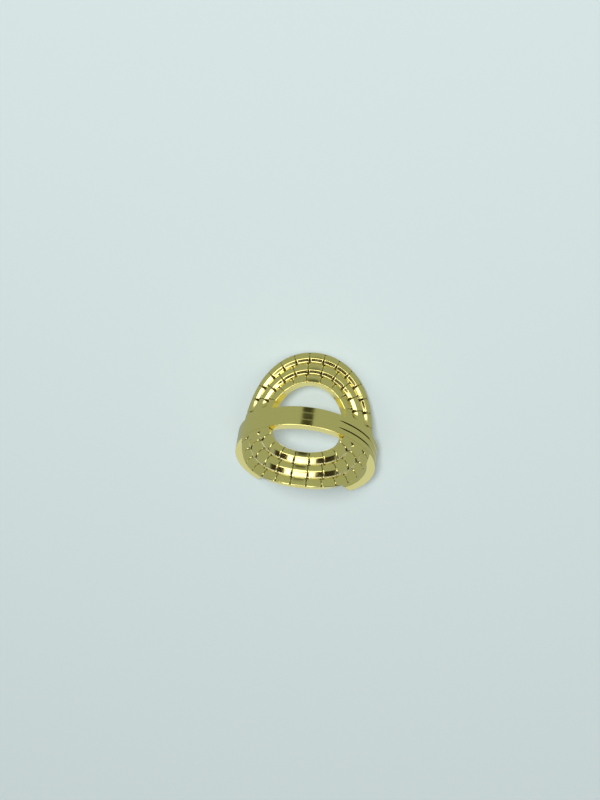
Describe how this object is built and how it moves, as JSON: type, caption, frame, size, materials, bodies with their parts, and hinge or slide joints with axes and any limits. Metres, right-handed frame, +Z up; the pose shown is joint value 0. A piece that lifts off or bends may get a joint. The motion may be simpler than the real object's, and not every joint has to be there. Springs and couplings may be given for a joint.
{
  "type": "adjustable open ring",
  "caption": "Open finger ring in polished gold-coloured metal, with an oval openwork front of brick-patterned rows and a plain grooved band across it.",
  "frame": {"origin": "centre of the bounding box in X and Y, on the floor that the ring rests on", "axes": "+Z up; the front faces -Y and leans back; the hoop's open side is towards +Y; +X runs across the finger"},
  "size_m": [0.0198, 0.0206, 0.0187],
  "materials": {
    "gold": "polished"
  },
  "bodies": {
    "root": {"ring": "gold"}
  },
  "joints": []
}
